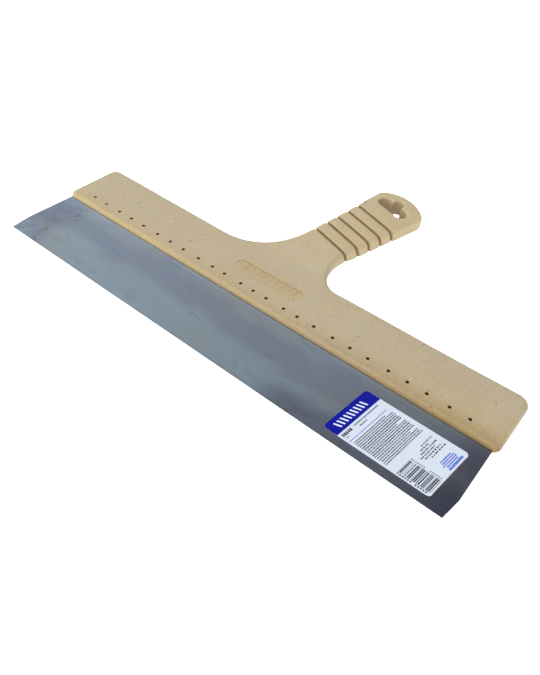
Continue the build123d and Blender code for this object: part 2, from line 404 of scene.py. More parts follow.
def handle_outline():
    """The handle seen from above, anticlockwise from the bar's front left corner."""
    x, y = BAR_LENGTH / 2, BAR_DEPTH / 2
    middle = (0, y)
    box = [(-x, -y), (x, -y), (x + BAR_END_SPLAY[1], y + BAR_SPLAY[1]),
           (-x - BAR_END_SPLAY[-1], y + BAR_SPLAY[-1])]
    points = fillet_corner(box[3], box[0], box[1], BAR_FRONT_CORNER, 10)
    points += fillet_corner(box[0], box[1], box[2], BAR_FRONT_CORNER, 10)
    points += fillet_corner(box[1], box[2], middle, BAR_BACK_CORNER[1], 12)

    def back_corner(side):
        """Where one side of the grip meets the bar's back edge, and both directions away."""
        low = np.array(from_grip(side * grip_half_width(-30), -30))
        high = np.array(from_grip(side * grip_half_width(100), 100))
        back = np.array([side * (x + BAR_END_SPLAY[side]), BAR_SPLAY[side]])
        share = np.linalg.solve(np.stack([high - low, -back], 1), middle - low)
        up = (high - low) / np.linalg.norm(high - low)
        return low + share[0] * (high - low), up, back / np.linalg.norm(back)

    corner, up, along_bar = back_corner(1)
    on_bar = corner + along_bar * NECK_RIGHT_ON_BAR
    on_grip = corner + up * NECK_RIGHT_ON_GRIP
    pull_a, pull_b = (corner + on_bar) / 2, (corner + on_grip) / 2
    for t in np.linspace(0, 1, 40):
        weights = ((1 - t) ** 3, 3 * t * (1 - t) ** 2, 3 * t * t * (1 - t), t**3)
        point = sum(w * p for w, p in zip(weights, (on_bar, pull_a, pull_b, on_grip)))
        points.append(tuple(point))

    left_end = (-GRIP_END_HALF_WIDTH, GRIP_LEFT_LENGTH)
    right_end = (grip_half_width(GRIP_RIGHT_LENGTH), GRIP_RIGHT_LENGTH)
    centre, radius = circle_through(left_end, GRIP_END_POINT, right_end)
    right_centre, right_side, right_tip = end_round(1, centre, radius)
    left_centre, left_side, left_tip = end_round(-1, centre, radius)
    end = arc_between(right_centre, right_side, right_tip, 12)
    end += arc_between(centre, right_tip, left_tip, 40)[1:-1]
    end += arc_between(left_centre, left_tip, left_side, 12)
    points += [from_grip(*p) for p in end]

    corner, up, along_bar = back_corner(-1)
    points += fillet_corner(corner + up, corner, corner + along_bar, NECK_LEFT_RADIUS, 36)
    points += fillet_corner(middle, box[3], box[0], BAR_BACK_CORNER[-1], 12)
    return np.array(points)


def polygon_distance(px, py, polygon):
    """Signed distance to a closed outline, negative inside."""
    best = np.full(px.shape, 1e9, np.float32)
    inside = np.zeros(px.shape, bool)
    for (ax, ay), (bx, by) in zip(polygon, np.roll(polygon, -1, axis=0)):
        ex, ey = bx - ax, by - ay
        length = ex * ex + ey * ey
        if length < 1e-12:
            continue
        wx, wy = px - ax, py - ay
        share = np.clip((wx * ex + wy * ey) / length, 0, 1)
        best = np.minimum(best, (wx - ex * share) ** 2 + (wy - ey * share) ** 2)
        if ay != by:
            crosses = ((ay <= py) != (by <= py)) & (px < ax + (py - ay) * ex / ey)
            inside ^= crosses
    return np.where(inside, -1, 1) * np.sqrt(best)


# ---------------------------------------------------------------- the handle's solid


def smooth_step(low, high, value):
    share = np.clip((value - low) / (high - low), 0, 1)
    return share * share * (3 - 2 * share)


def bend(y, start):
    """Height of a line that leaves the level at start and rises at the grip's slope."""
    reach = BEND_RADIUS * math.tan(GRIP_RISE / 2)
    into = y - (start - reach)
    curve = BEND_RADIUS - np.sqrt(np.maximum(BEND_RADIUS**2 - into**2, 0))
    straight = (y - start) * math.tan(GRIP_RISE)
    past = y > start + reach * math.cos(GRIP_RISE)
    return np.where(into < 0, 0, np.where(past, straight, curve))


def rounded_box(px, py, half_x, half_y, corner):
    """Signed distance to a rectangle with round corners."""
    qx, qy = np.abs(px) - half_x + corner, np.abs(py) - half_y + corner
    outside = np.hypot(np.maximum(qx, 0), np.maximum(qy, 0))
    return outside + np.minimum(np.maximum(qx, qy), 0) - corner


def smooth_min(a, b, blend):
    share = np.clip(0.5 + 0.5 * (b - a) / blend, 0, 1)
    return b + (a - b) * share - blend * share * (1 - share)


def round_cut(solid, cutter, radius):
    """The solid less the cutter, with a rounded rim. Both are signed distances."""
    a, b = solid + radius, radius - cutter
    outer = np.hypot(np.maximum(a, 0), np.maximum(b, 0))
    return np.minimum(np.maximum(solid, -cutter), -radius) + outer


def spaced(parts, coarse):
    """Grid lines through stretches of different spacing. The first part is only the start."""
    lines = [parts[0][0]]
    for (start, _), (end, step) in zip(parts, parts[1:]):
        count = max(1, round((end - start) / (step * coarse)))
        lines += list(start + (end - start) * np.arange(1, count + 1) / count)
    return np.array(lines)


def panel_shape(px, py):
    """How far the upper face sinks in the panel, and the distances to its edge and its ribs."""
    u, v = px - PANEL_CENTRE[0], py - PANEL_CENTRE[1]
    edge = rounded_box(u, v, PANEL_WIDTH / 2, PANEL_HEIGHT / 2, PANEL_CORNER)
    depth = PANEL_SINK * np.clip((v + PANEL_HEIGHT / 2) / PANEL_HEIGHT, 0, 1)
    depth = depth * smooth_step(0.1, -0.3, edge)
    first = -(RIB_COUNT - 1) / 2 * RIB_PITCH
    w = v - RIB_LIFT
    ribs = []
    for i in range(RIB_COUNT):
        slanted = u - first - i * RIB_PITCH - RIB_SLANT * w / RIB_HEIGHT
        ribs.append(rounded_box(slanted, w, RIB_WIDTH / 2, RIB_HEIGHT / 2, RIB_CORNER))
    ribs = np.min(ribs, axis=0)
    return depth * smooth_step(-0.3, 0.25, ribs), edge, ribs


def groove_axis(along, z):
    """Distance along the grip in which each finger groove lies at its own station."""
    slope = math.cos(GRIP_ANGLE) * math.tan(GRIP_RISE)
    above_top = z - BAR_THICKNESS - slope * along
    on_top = along * math.sqrt(1 + slope * slope)
    middle = above_top + GRIP_THICKNESS / math.cos(GRIP_RISE) / 2
    return on_top + slope * above_top + GROOVE_TILT * middle


def hole_distance(u, v):
    """Signed distance in plan to the three-lobed hole, from its middle."""
    hole = np.hypot(u, v - HOLE_TOP_LOBE_RISE) - HOLE_TOP_LOBE_RADIUS
    for side in (-1, 1):
        lobe = np.hypot(u - side * HOLE_LOBE_SPREAD, v) - HOLE_LOBE_RADIUS
        hole = smooth_min(hole, lobe, HOLE_BLEND)
    waist = rounded_box(u, v, HOLE_LOBE_SPREAD, HOLE_LOBE_RADIUS, HOLE_WAIST_CORNER)
    return smooth_min(hole, waist, HOLE_BLEND)


def handle_field(xs, ys, zs):
    """Signed size field of the moulded handle on a grid, negative inside."""
    px, py = np.meshgrid(xs, ys, indexing="ij")
    plan = polygon_distance(px, py, handle_outline())
    across, along = to_grip(px, py)

    drop = GRIP_THICKNESS / math.cos(GRIP_RISE)
    under = GRIP_START[1] + (drop - BAR_THICKNESS) / math.tan(GRIP_RISE)
    on_grip = smooth_step(*GRIP_BLEND, along)
    width = grip_half_width(np.clip(along, 0, CROWN_REACH))
    crown = on_grip * np.clip(np.abs(across) / width, 0, 1.1) ** CROWN_POWER
    end_dip = on_grip * smooth_step(-END_DIP_REACH, 1, plan) ** 2
    top = BAR_THICKNESS + bend(py, GRIP_START[1])
    top = top - CROWN_ABOVE * crown - END_DIP * end_dip - panel_shape(px, py)[0]
    bottom = bend(py, under) + CROWN_BELOW * crown * smooth_step(*UNDER_BLEND, along)
    edge = EDGE_ROUND + GRIP_EDGE_MORE * on_grip - END_EDGE_LESS * smooth_step(*GRIP_END_BLEND, along)

    plan, top, bottom, edge = (a[:, :, None].astype(np.float32) for a in (plan, top, bottom, edge))
    z = zs[None, None, :].astype(np.float32)
    level = np.maximum(z - top, bottom - z) * np.float32(math.cos(GRIP_RISE))
    a, b = plan + edge, level + edge
    corner = np.hypot(np.maximum(a, 0), np.maximum(b, 0))
    field = (np.minimum(np.maximum(a, b), 0) + corner - edge).astype(np.float32)

    columns = slice(*np.searchsorted(xs, GROOVED_X))
    rows = slice(int(np.searchsorted(ys, GROOVED_FROM_Y)), None)
    grip = field[columns, rows]
    axis = groove_axis(along[columns, rows, None], z).astype(np.float32)
    for station in GROOVE_STATIONS:
        grip += GROOVE_CUT * bell(axis - station, GROOVE_HALF)
        grip += GROOVE_SHOULDER_CUT * bell(axis - station, GROOVE_SHOULDER_HALF)
    hole = hole_distance(across[columns, rows], along[columns, rows] - HOLE_ALONG)
    grip[:] = round_cut(grip, hole[:, :, None], HOLE_RIM_ROUND)
    return field


def surface_of(field, xs, ys, zs):
    """Vertices and quads of the field's zero surface, one vertex in each crossed cell."""
    inside = field < 0
    corners = [inside[i : i - 1 or None, j : j - 1 or None, k : k - 1 or None]
               for i in (0, 1) for j in (0, 1) for k in (0, 1)]
    some = np.zeros(corners[0].shape, bool)
    every = np.ones(corners[0].shape, bool)
    for corner in corners:
        some |= corner
        every &= corner
    ci, cj, ck = np.nonzero(some & ~every)
    number = np.full(some.shape, -1, np.int32)
    number[ci, cj, ck] = np.arange(len(ci))

    total = np.zeros((len(ci), 3))
    count = np.zeros(len(ci))
    lines = (xs, ys, zs)
    steps = [(i, j, k) for i in (0, 1) for j in (0, 1) for k in (0, 1)]
    for axis in range(3):
        for start in steps:
            if start[axis]:
                continue
            end = tuple(v + (n == axis) for n, v in enumerate(start))
            a = [c + s for c, s in zip((ci, cj, ck), start)]
            b = [c + e for c, e in zip((ci, cj, ck), end)]
            fa, fb = field[tuple(a)], field[tuple(b)]
            hit = (fa < 0) != (fb < 0)
            share = np.where(hit, fa / np.where(hit, fa - fb, 1), 0)
            for n in range(3):
                low, high = lines[n][a[n]], lines[n][b[n]]
                total[:, n] += np.where(hit, low + (high - low) * share, 0)
            count += hit
    points = total / count[:, None]

    quads = []
    for axis in range(3):
        u, v = (axis + 1) % 3, (axis + 2) % 3
        low = [slice(1, -1)] * 3
        high = [slice(1, -1)] * 3
        low[axis], high[axis] = slice(0, -1), slice(1, None)
        a, b = inside[tuple(low)], inside[tuple(high)]
        where = np.nonzero(a != b)
        flip = b[where]
        base = [w + (0 if n == axis else 1) for n, w in enumerate(where)]
        ring = []
        for du, dv in ((-1, -1), (0, -1), (0, 0), (-1, 0)):
            cell = list(base)
            cell[u] = cell[u] + du
            cell[v] = cell[v] + dv
            ring.append(number[tuple(cell)])
        faces = np.stack(ring, 1)
        faces[flip] = faces[flip][:, ::-1]
        quads.append(faces)
    return points, np.concatenate(quads)


def relax(points, quads, rounds=2):
    """Evens the surface slightly, which takes out the grid's faint steps and keeps its size."""
    edges = np.concatenate([quads[:, [i, (i + 1) % 4]] for i in range(4)])
    degree = np.bincount(edges.ravel(), minlength=len(points))[:, None]
    for share in rounds * (0.5, -0.53):
        total = np.zeros_like(points)
        for n in range(3):
            total[:, n] = np.bincount(edges[:, 0], points[edges[:, 1], n], len(points))
            total[:, n] += np.bincount(edges[:, 1], points[edges[:, 0], n], len(points))
        points = points + share * (total / degree - points)
    return points


def pin_places():
    """X of each support pin hole, from the left."""
    away = np.cumsum(PIN_GAPS)
    return [float(x) + PIN_ROW_SHIFT for x in (*-away[::-1], 0.0, *away)]


def drill(bm, group, x, y, z, up, darkest, painted_shade):
    """Cuts one small round hole with a soft rim into a level face of the mesh, and paints shade into
    its rings.
    """
    members = set(group)
    rim = [e for f in group for e in f.edges if sum(g in members for g in e.link_faces) == 1]
    ring = {v for e in rim for v in e.verts}
    ring = sorted(ring, key=lambda v: math.atan2(v.co.y - y, v.co.x - x))
    bmesh.ops.delete(bm, geom=group, context="FACES")
    angles = [math.atan2(v.co.y - y, v.co.x - x) for v in ring]
    last = ring
    for radius, down, dark in PIN_RINGS:
        radius *= PIN_HOLE_RADIUS
        fresh = []
        for angle in angles:
            spot = (x + radius * math.cos(angle), y + radius * math.sin(angle), z - up * down)
            fresh.append(bm.verts.new(spot))
            fresh[-1][painted_shade] = min(dark, darkest)
        for i in range(len(ring)):
            j = (i + 1) % len(ring)
            face = [last[i], last[j], fresh[j], fresh[i]]
            bm.faces.new(face if up > 0 else face[::-1])
        last = fresh
    bm.faces.new(last if up > 0 else last[::-1])


def drill_pins(mesh):
    """Cuts the support pin holes into both faces. The mesh is still in millimetres."""
    centres = np.zeros(len(mesh.polygons) * 3)
    mesh.polygons.foreach_get("center", centres)
    centres = centres.reshape(-1, 3)
    pins = pin_places()
    holes = []
    for up, z in ((1, BAR_THICKNESS), (-1, 0.0)):
        level = np.abs(centres[:, 2] - z) < LEVEL_WITHIN
        for x in pins:
            away = np.hypot(centres[:, 0] - x, centres[:, 1] - PIN_ROW_Y)
            holes.append((np.nonzero(level & (away < PIN_CLEARING * PIN_HOLE_RADIUS))[0], x, z, up))
    bm = bmesh.new()
    bm.from_mesh(mesh)
    painted_shade = bm.verts.layers.float["painted_shade"]
    bm.faces.ensure_lookup_table()
    groups = [([bm.faces[i] for i in found], x, z, up) for found, x, z, up in holes]
    for group, x, z, up in groups:
        # Painted shade in each pin hole, paler in the leftmost ones
        darkest = LEFTMOST_PIN_SHADE if x in pins[:LEFTMOST_PIN_COUNT] else PIN_PAINTED_SHADE
        drill(bm, group, x, PIN_ROW_Y, z, up, darkest, painted_shade)
    bmesh.ops.recalc_face_normals(bm, faces=bm.faces)
    bm.to_mesh(mesh)
    bm.free()


def build_handle(material):
    """The moulded handle as one dense, softly rounded mesh."""
    coarse = 1.0
    xs, ys, zs = (spaced(parts, coarse) for parts in (GRID_X, GRID_Y, GRID_Z))
    points, quads = surface_of(handle_field(xs, ys, zs), xs, ys, zs)
    points = relax(points, quads)
    mesh = bpy.data.meshes.new("handle_moulding")
    mesh.from_pydata(points.tolist(), [], quads.tolist())
    # Each vertex carries its painted shade and its yellow tint, which is partly painted light
    for name, values in zip(("painted_shade", "tint_and_painted_light"), shading_values(points)):
        mesh.attributes.new(name, "FLOAT", "POINT").data.foreach_set("value", values)
    mesh.update()
    drill_pins(mesh)
    mesh.transform(Matrix.Scale(MM, 4))
    mesh.materials.append(material)
    mesh.shade_smooth()
    return add_object("handle_moulding", mesh)


def shading_values(points):
    """Each vertex's share of painted shade, in grooves, holes, the panel's lines and the front edge,
    and of yellow, partly painted light, at the edges and the panel.
    """
    x, y, z = points.T
    across, along = to_grip(x, y)
    upper = z > BAR_THICKNESS / 2
    axis = groove_axis(along, z)
    # Painted shade in the finger grooves and round the hanging hole's rim
    groove_painted_shade = sum(bell(axis - station, 1.3) for station in GROOVE_STATIONS) * (np.abs(across) < 40)
    hole = 0.22 * smooth_step(0.8, 0.0, hole_distance(across, along - HOLE_ALONG))

    sunk, edge, ribs = panel_shape(x, y)
    in_panel = (edge < 0) * upper
    # A painted shadow line along the panel's back step, and painted shading along the ribs' edges
    panel_painted_shadow = bell(edge + 0.1, 0.3) * smooth_step(1.0, 7.0, y - PANEL_CENTRE[1]) * upper
    rib_painted_shading = bell(ribs, 0.3) * in_panel
    pins = np.min([np.hypot(x - pin, y - PIN_ROW_Y) for pin in pin_places()], axis=0)

    # Painted shade on the front edge, growing towards the right as the light falls off, and less
    # highlight on its rounding
    front_painted_shade = 0.5 * smooth_step(-10, -30, y) * np.clip((x + 110) / 330, 0, 1)
    front_painted_shade += 0.12 * bell(y + 26.5, 2.5) * upper
    painted_shade = np.maximum(np.maximum(groove_painted_shade, hole), 0.55 * panel_painted_shadow + 0.2 * rib_painted_shading) + front_painted_shade

    # Painted warm light on the front edge, strongest towards the left end
    front_painted_light = 0.3 * smooth_step(-8, -25, y) + 0.4 * smooth_step(-23, -28, y)
    tint_and_painted_light = front_painted_light * (1.0 - 0.5 * smooth_step(-150, 150, x))
    tint_and_painted_light += 0.4 * smooth_step(15, -25, y) * smooth_step(90, 210, x)
    tint_and_painted_light += 0.4 * smooth_step(-225, -228, x) + 0.35 * smooth_step(40, 90, y)
    # A yellower panel, with its painted shadow line and rib shading yellower too, and a yellow ring
    # round each pin hole
    tint_and_painted_light += 0.30 * in_panel + 0.6 * np.minimum(sunk, 1) * upper + 0.8 * panel_painted_shadow + 0.35 * rib_painted_shading
    tint_and_painted_light += 0.5 * bell(pins - 2.0, 0.6) * upper
    return painted_shade.astype(np.float32), tint_and_painted_light.astype(np.float32)


# ---------------------------------------------------------------- the blade and the label


def offset_loop(loop, amount):
    """A closed loop moved towards its left side, which is inwards for an anticlockwise one."""
    loop = np.array(loop, float)
    before, after = np.roll(loop, 1, axis=0), np.roll(loop, -1, axis=0)
    a, b = loop - before, after - loop
    a /= np.linalg.norm(a, axis=1)[:, None]
    b /= np.linalg.norm(b, axis=1)[:, None]
    na, nb = np.stack([-a[:, 1], a[:, 0]], 1), np.stack([-b[:, 1], b[:, 0]], 1)
    middle = na + nb
    middle /= np.linalg.norm(middle, axis=1)[:, None]
    stretch = 1 / np.maximum((middle * na).sum(1), 0.3)
    return loop + middle * (amount * stretch)[:, None]


def sheet_face(bm, rims, level, up, spacing):
    """One flat face of a sheet, with its rims' vertices first, in the rims' order."""
    points = [Vector(p) for rim in rims for p in rim]
    joints, start = [], 0
    for rim in rims:
        joints += [(start + i, start + (i + 1) % len(rim)) for i in range(len(rim))]
        start += len(rim)
    low, high = rims[0].min(0), rims[0].max(0)
    gx, gy = np.meshgrid(*(np.arange(a + spacing / 2, b, spacing) for a, b in zip(low, high)))
    room = np.maximum(polygon_distance(gx, gy, rims[0]), depth_in_holes(gx, gy, rims[1:]))
    keep = room < -spacing * 0.4
    points += [Vector(p) for p in zip(gx[keep], gy[keep])]
    places, _, faces = delaunay_2d_cdt(points, joints, [], 1, 1e-6)[:3]
    verts = [bm.verts.new((p.x, p.y, level)) for p in places]
    middles = np.array([np.mean([places[i] for i in face], axis=0) for face in faces])
    for face, depth in zip(faces, depth_in_holes(*middles.T, rims[1:])):
        if depth < 0:
            corners = [verts[i] for i in face]
            bm.faces.new(corners if up else corners[::-1])
    return verts


def depth_in_holes(x, y, holes):
    """How far inside the nearest hole a place is, negative outside."""
    depth = np.full(np.shape(x), -1e9)
    for hole in holes:
        depth = np.maximum(depth, -polygon_distance(x, y, hole))
    return depth


def sheet_mesh(name, loops, low, high, edge, spacing):
    """A flat sheet with round edges. The first loop is its outline, the rest are holes."""
    bm = bmesh.new()
    rims = [offset_loop(loop, edge) for loop in loops]
    above = sheet_face(bm, rims, high, True, spacing)
    below = sheet_face(bm, rims, low, False, spacing)
    slant = 1 - math.sqrt(0.5)  # where the middle of a round edge lies
    start = 0
    for loop in loops:
        end = start + len(loop)
        inner, outer = offset_loop(loop, edge * slant), offset_loop(loop, 0.0)
        rings = [above[start:end]]
        for side, z in ((inner, high - edge * slant), (outer, high - edge),
                        (outer, low + edge), (inner, low + edge * slant)):
            rings.append([bm.verts.new((*p, z)) for p in side])
        rings.append(below[start:end])
        for upper, lower in zip(rings, rings[1:]):
            for i in range(len(loop)):
                j = (i + 1) % len(loop)
                bm.faces.new([upper[i], lower[i], lower[j], upper[j]])
        start = end
    bmesh.ops.recalc_face_normals(bm, faces=bm.faces)
    mesh = bpy.data.meshes.new(name)
    bm.to_mesh(mesh)
    bm.free()
    mesh.transform(Matrix.Scale(MM, 4))
    mesh.shade_smooth()
    mesh.set_sharp_from_angle(angle=SHARP_ANGLE)
    return add_object(name, mesh)


def circle(x, y, radius, count):
    """A clockwise ring of points, the way round that a hole's loop goes."""
    angles = -2 * math.pi * np.arange(count) / count
    return np.stack([x + radius * np.cos(angles), y + radius * np.sin(angles)], 1)


def build_blade(material):
    """The steel strip, with its tapered working corners and the holes in its hidden part."""
    low, high = box_mm("blade")
    half, middle = (high[0] - low[0]) / 2, (high[0] + low[0]) / 2
    shoulder = low[1] + BLADE_CORNER_LENGTH
    tip = half - BLADE_CORNER_INSET
    corners = [(-half, shoulder), (-tip, low[1]), (tip, low[1]),
               (half, shoulder), (half, high[1]), (-half, high[1])]
    rounds = [BLADE_SHOULDER_ROUND, BLADE_TIP_ROUND, BLADE_TIP_ROUND,
              BLADE_SHOULDER_ROUND, BLADE_BACK_ROUND, BLADE_BACK_ROUND]
    outline = []
    for n, (corner, radius) in enumerate(zip(corners, rounds)):
        outline += fillet_corner(corners[n - 1], corner, corners[(n + 1) % 6], radius, 6)
    loops = [np.array(outline)]
    first = -(LOCK_HOLE_COUNT - 1) / 2 * LOCK_HOLE_PITCH
    for i in range(LOCK_HOLE_COUNT):
        x = first + i * LOCK_HOLE_PITCH
        loops.append(circle(x, high[1] - LOCK_HOLE_INSET, LOCK_HOLE_RADIUS, 24))
    loops = [loop + np.array([middle, 0.0]) for loop in loops]
    blade = sheet_mesh("blade_strip", loops, low[2], high[2], BLADE_EDGE, 6.0)
    blade.data.materials.append(material)
    return blade


def label_outline(right):
    """The label's outline up to a line at right, in label terms. Its ends lean."""
    x, y = LABEL_WIDTH / 2, LABEL_HEIGHT / 2
    box = [lean(-x, -y), lean(right, -y), lean(right, y), lean(-x, y)]
    points = []
    for n, corner in enumerate(box):
        if right == x or n in (0, 3):
            points += fillet_corner(box[n - 1], corner, box[(n + 1) % 4], LABEL_CORNER, 8)
        else:
            points.append(corner)
    return np.array(points)


def lean(x, y):
    """Moves a point of an upright label to where it is on the leaning one."""
    return x + LABEL_LEAN * y / LABEL_HEIGHT, y


def build_label(material):
    """The label's film, flat on the blade."""
    low, high = box_mm("label")
    outline = label_outline(LABEL_WIDTH / 2) + (low[:2] + high[:2]) / 2
    label = sheet_mesh("label_sheet", [outline], low[2], high[2], LABEL_EDGE, 4.0)
    label.data.materials.append(material)
    return label


# ---------------------------------------------------------------- the label's print


def printed_marks():
    """The label's generic print as rectangles and slanted bars, in label terms.

    Each mark is its centre, its half sizes, its slant and its ink. Lines of small dashes
    stand for text, and they run along the label's short side.
    """
    rng = np.random.default_rng(11)
    marks = []

    def dashes(x, low, high, thick, ink, dash=(0.5, 2.0), gap=(0.3, 0.75)):
        y = low
        while y < high - 0.4:
            length = min(rng.uniform(*dash), high - y)
            marks.append((x, y + length / 2, thick / 2, length / 2, 0.0, ink))
            y += length + rng.uniform(*gap)

    # Slanted bars in the band at the left end
    for i in range(9):
        marks.append((-35.6, -16.5 + i * 3.6, 2.9, 0.72, 0.9, "white"))

    # Headings, a rule and a paragraph
    dashes(-27.0, -22.0, -12.2, 2.5, "black", (1.3, 1.9), (0.4, 0.6))
    dashes(-24.2, -21.8, -18.0, 0.7, "grey")
    dashes(-27.5, -9.2, 18.4, 1.15, "grey", (0.6, 1.6), (0.22, 0.5))
    dashes(-24.6, -6.4, 2.0, 1.1, "grey", (0.8, 1.6), (0.22, 0.5))
    marks.append((-20.6, -2.2, 0.24, 20.9, 0.0, "blue"))
    for i in range(16):
        low = -22.0 + rng.uniform(0, 0.5)
        high = 20.4 - rng.uniform(0, 1.4)
        if i in (0, 6, 12):
            high -= 7.0
        ink = "black" if i in (3, 4, 5, 8, 9) else "grey"
        dashes(-17.9 + i * 1.72, low, high, 0.95, ink, (0.8, 2.4), (0.2, 0.45))

    # Short lines, a small blue block and the film's cut end
    spans = ((7.5, 20.0), (3.5, 13.0), (1.0, 20.5), (-2.0, 14.5), (0.0, 18.0), (4.5, 20.5))
    for i, (low, high) in enumerate(spans):
        dashes(15.2 + i * 2.1, low, high, 1.15, "black", (0.7, 1.8), (0.4, 1.1))
    for i in range(4):
        low = 2.9 + rng.uniform(-0.6, 1.6)
        high = 19.0 - rng.uniform(0, 2.4)
        dashes(32.4 + i * 1.7, low, high, 1.1, "blue", (0.6, 1.7), (0.2, 0.45))
    dashes(39.7, 3.4, 19.6, 1.8, "blue", (1.0, 1.7), (0.25, 0.4))
    marks.append((LABEL_WIDTH / 2 - 0.14, -0.6, 0.14, 20.4, 0.0, "cut"))

    # Stripes of chance widths, which encode nothing, and marks on both sides of them
    x = 16.6
    while x < 40.6:
        width = rng.choice([0.33, 0.33, 0.66, 0.99])
        marks.append((x + width / 2, -14.4, width / 2, 6.6, 0.0, "black"))
        x += width + rng.choice([0.33, 0.33, 0.66, 0.99])
    marks += [(15.2 + i * 1.95, -22.2, 0.55, 0.7, 0.0, "black") for i in range(13) if i not in (0, 7)]
    marks += [(17.2 + i * 1.6, -6.3, 0.5, 0.5, 0.0, "grey") for i in range(15) if i not in (7, 8)]
    return marks


def build_print(inks):
    """The print as thin flat shapes just above the label's face."""
    bm = bmesh.new()
    box_low, box_high = box_mm("label")
    middle, z = (box_low + box_high) / 2, box_high[2]
    order = list(inks)

    def face(points, lift, ink):
        low = [bm.verts.new((middle[0] + x, middle[1] + y, z)) for x, y in points]
        top = [bm.verts.new((v.co.x, v.co.y, z + lift)) for v in low]
        sides = [bm.faces.new(top), bm.faces.new(low[::-1])]
        for i in range(len(low)):
            j = (i + 1) % len(low)
            sides.append(bm.faces.new([low[i], low[j], top[j], top[i]]))
        for side in sides:
            side.material_index = order.index(ink)

    face(offset_loop(label_outline(LABEL_BAND_WIDTH - LABEL_WIDTH / 2), 0.05), PRINT_LIFT, "band")
    for x, y, half_x, half_y, slant, ink in printed_marks():
        corners = [(x - half_x, y - half_y - slant), (x + half_x, y - half_y + slant),
                   (x + half_x, y + half_y + slant), (x - half_x, y + half_y - slant)]
        face([lean(*c) for c in corners], PRINT_LIFT * (1.8 if ink == "white" else 1), ink)
    bmesh.ops.recalc_face_normals(bm, faces=bm.faces)
    mesh = bpy.data.meshes.new("label_print")
    bm.to_mesh(mesh)
    bm.free()
    mesh.transform(Matrix.Scale(MM, 4))
    for name in order:
        mesh.materials.append(inks[name])
    return add_object("label_print", mesh)


# ---------------------------------------------------------------- materials


def fibre_share(tree, scale, stretch, offset, size, rarity, strength):
    """Short fibres: the middles of stretched cells, kept only in some cells."""
    spots = cells(tree, place(tree, stretch, offset), scale)
    dot = ramp(tree, spots.outputs["Distance"], [(size[0], 1.0), (size[1], 0.0)])
    chance = tree.nodes.new("ShaderNodeSeparateColor")
    tree.links.new(spots.outputs["Color"], chance.inputs[0])
    pick = ramp(tree, chance.outputs[0], [(rarity, 0.0), (min(rarity + 0.2, 1.0), strength)])
    return times(tree, dot, pick)


def handle_material():
    """Beige moulded wood-fibre plastic: mottled, with fine brown and pale fibres, painted shade and
    some painted light.
    """
    material, tree, shader = new_material("wood_fibre_plastic")
    here = place(tree)
    cloud = noise(tree, here, 40, 4, 0.6)
    grain = noise(tree, here, 1100, 3, 0.7)
    blotch = noise(tree, here, 260, 4, 0.65)
    colour = mix(tree, cloud, (0.274, 0.227, 0.150), (0.309, 0.259, 0.177))
    mottle = ramp(tree, blotch, [(0.34, (1.04, 0.99, 0.86)), (0.66, (0.97, 1.01, 1.08))])
    colour = multiplied(tree, colour, mottle)
    colour = multiplied(tree, colour, ramp(tree, grain, [(0.33, 0.90), (0.5, 1.0), (0.68, 1.08)]))
    shares = [fibre_share(tree, *kind[:-1]) for kind in FIBRES]
    for share, kind in zip(shares, FIBRES):
        colour = mix(tree, share, colour, kind[-1])

    # Yellow tint, partly the moulding's own and partly painted light, and painted shade, both stronger
    # on upright faces; pin holes get near-black painted shade
    upright = ramp(tree, math_node(tree, "ABSOLUTE", normal_z(tree)), [(0.35, 1.0), (0.90, 0.0)], True)
    painted_shade = attribute(tree, "painted_shade")
    tint_and_painted_light = plus(tree, attribute(tree, "tint_and_painted_light"), times(tree, upright, 0.15), True)
    colour = tinted(tree, tint_and_painted_light, colour, (1.06, 0.97, 0.70))
    painted_shade_share = times(tree, painted_shade, plus(tree, times(tree, upright, 0.5), 0.8), True)
    colour = tinted(tree, painted_shade_share, colour, (0.44, 0.32, 0.19))
    # Near-black painted shade inside the pin holes
    pit_painted_shade = times(tree, minus(tree, painted_shade, 1.1), 1.6, True)
    colour = mix(tree, pit_painted_shade, colour, (0.042, 0.022, 0.008))
    put(tree, shader.inputs["Base Color"], colour)

    shine = noise(tree, here, 160, 3, 0.6)
    put(tree, shader.inputs["Roughness"], ramp(tree, shine, [(0.3, 0.50), (0.7, 0.66)]))
    shader.inputs["Specular IOR Level"].default_value = 0.35
    dark_fibres = times(tree, plus(tree, shares[0], shares[1]), 0.35)
    normal = bump(tree, minus(tree, grain, dark_fibres), 0.22, 0.00012)
    normal = bump(tree, noise(tree, here, 60, 2, 0.5), 0.12, 0.0006, normal)
    put(tree, shader.inputs["Normal"], normal)
    return material


